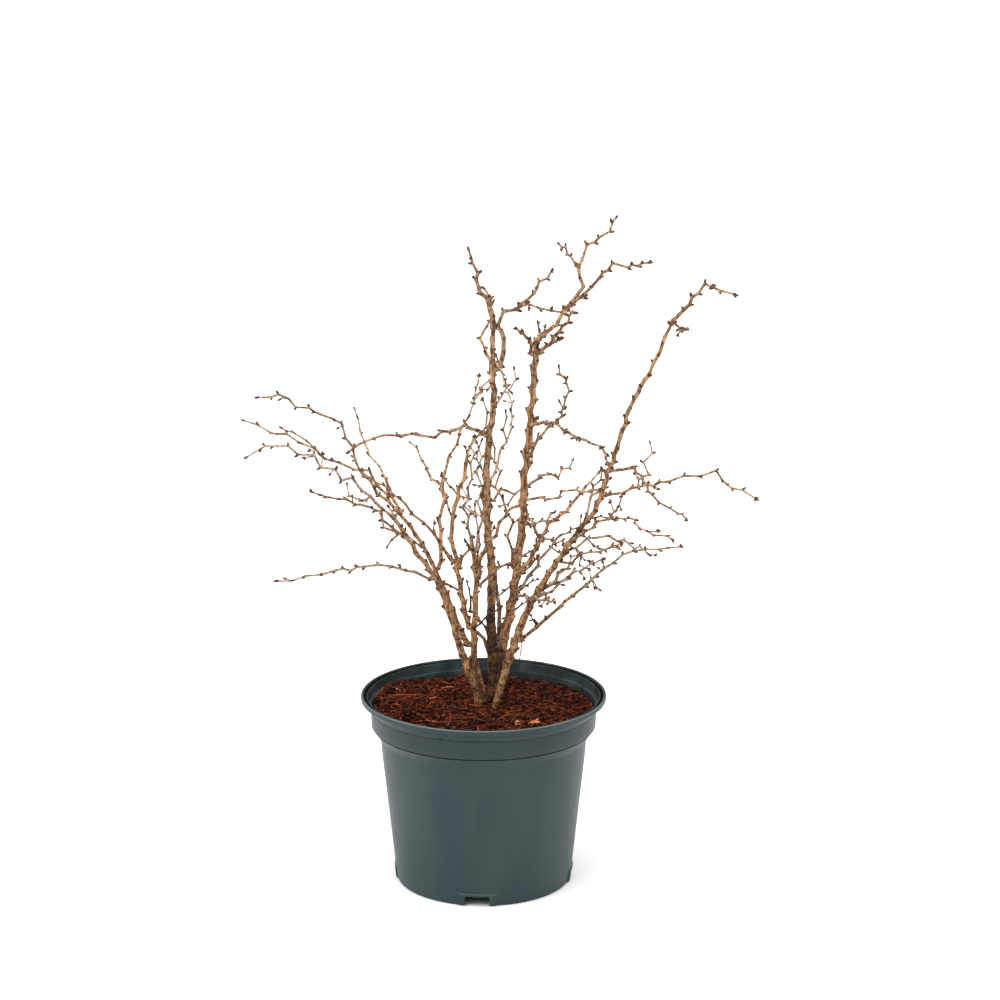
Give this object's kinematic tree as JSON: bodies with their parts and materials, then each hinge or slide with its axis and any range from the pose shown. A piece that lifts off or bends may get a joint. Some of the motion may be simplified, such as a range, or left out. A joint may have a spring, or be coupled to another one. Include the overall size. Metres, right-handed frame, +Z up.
{
  "type": "potted winter flowering cherry shrub",
  "caption": "Bare, many-stemmed dwarf flowering cherry in winter bud, with zigzag twigs, in a plastic nursery pot topped with bark mulch.",
  "frame": {"origin": "middle of the flat underside of the pot", "axes": "+Z up along the pot's axis; +Y away from the side that the shrub is seen from; +X to the viewer's right"},
  "size_m": [0.3965, 0.3095, 0.5143],
  "materials": {
    "pot": "slate-green moulded polypropylene, satin",
    "compost": "dark peat-like compost full of roots",
    "mulch": "shredded red-brown bark, matt",
    "bark": "smooth brown bark with lenticels",
    "twigs": "thin tan twigs with dark red-brown buds"
  },
  "bodies": {
    "root": {"pot": "pot", "compost": "compost", "bark_mulch": "mulch", "stool_left": "bark", "stool_centre": "bark", "stem_leaning": "bark", "stem_left_outer": "bark", "stem_left_inner": "bark", "stem_left_second": "bark", "stem_left_tall": "bark", "stem_centre": "bark", "stem_right_tall": "bark", "stem_back": "bark", "bough_fan": "bark", "bough_back_left": "bark", "bough_top_right": "bark", "bough_low_right": "bark", "bough_right": "bark", "mass_back_inner": "twigs", "mass_back_left": "twigs", "mass_back_left_top": "twigs", "mass_back_low": "twigs", "mass_back_mid": "twigs", "mass_back_tall": "twigs", "mass_far_back": "twigs", "mass_right_inner": "twigs", "mass_far_back_right": "twigs", "mass_fork": "twigs", "mass_fork_right": "twigs", "mass_front_crossing": "twigs", "mass_front_far": "twigs", "mass_front_inner": "twigs", "mass_front_left": "twigs", "mass_front_low": "twigs", "mass_front_mid": "twigs", "mass_inner_front": "twigs", "mass_inner_left_top": "twigs", "mass_inner_mid": "twigs", "mass_leaning_top": "twigs", "mass_left_back": "twigs", "mass_left_crossing": "twigs", "mass_left_far": "twigs", "mass_left_front": "twigs", "mass_left_high": "twigs", "mass_left_level": "twigs", "mass_left_low": "twigs", "mass_low_back": "twigs", "mass_low_front": "twigs", "mass_right_back": "twigs", "mass_right_end": "twigs", "mass_right_far": "twigs", "mass_right_front": "twigs", "mass_right_low": "twigs", "mass_right_low_back": "twigs", "mass_right_upper": "twigs", "mass_top_centre": "twigs", "mass_top_high": "twigs", "mass_top_inner": "twigs", "mass_top_left": "twigs", "mass_top_right": "twigs"}
  },
  "joints": []
}
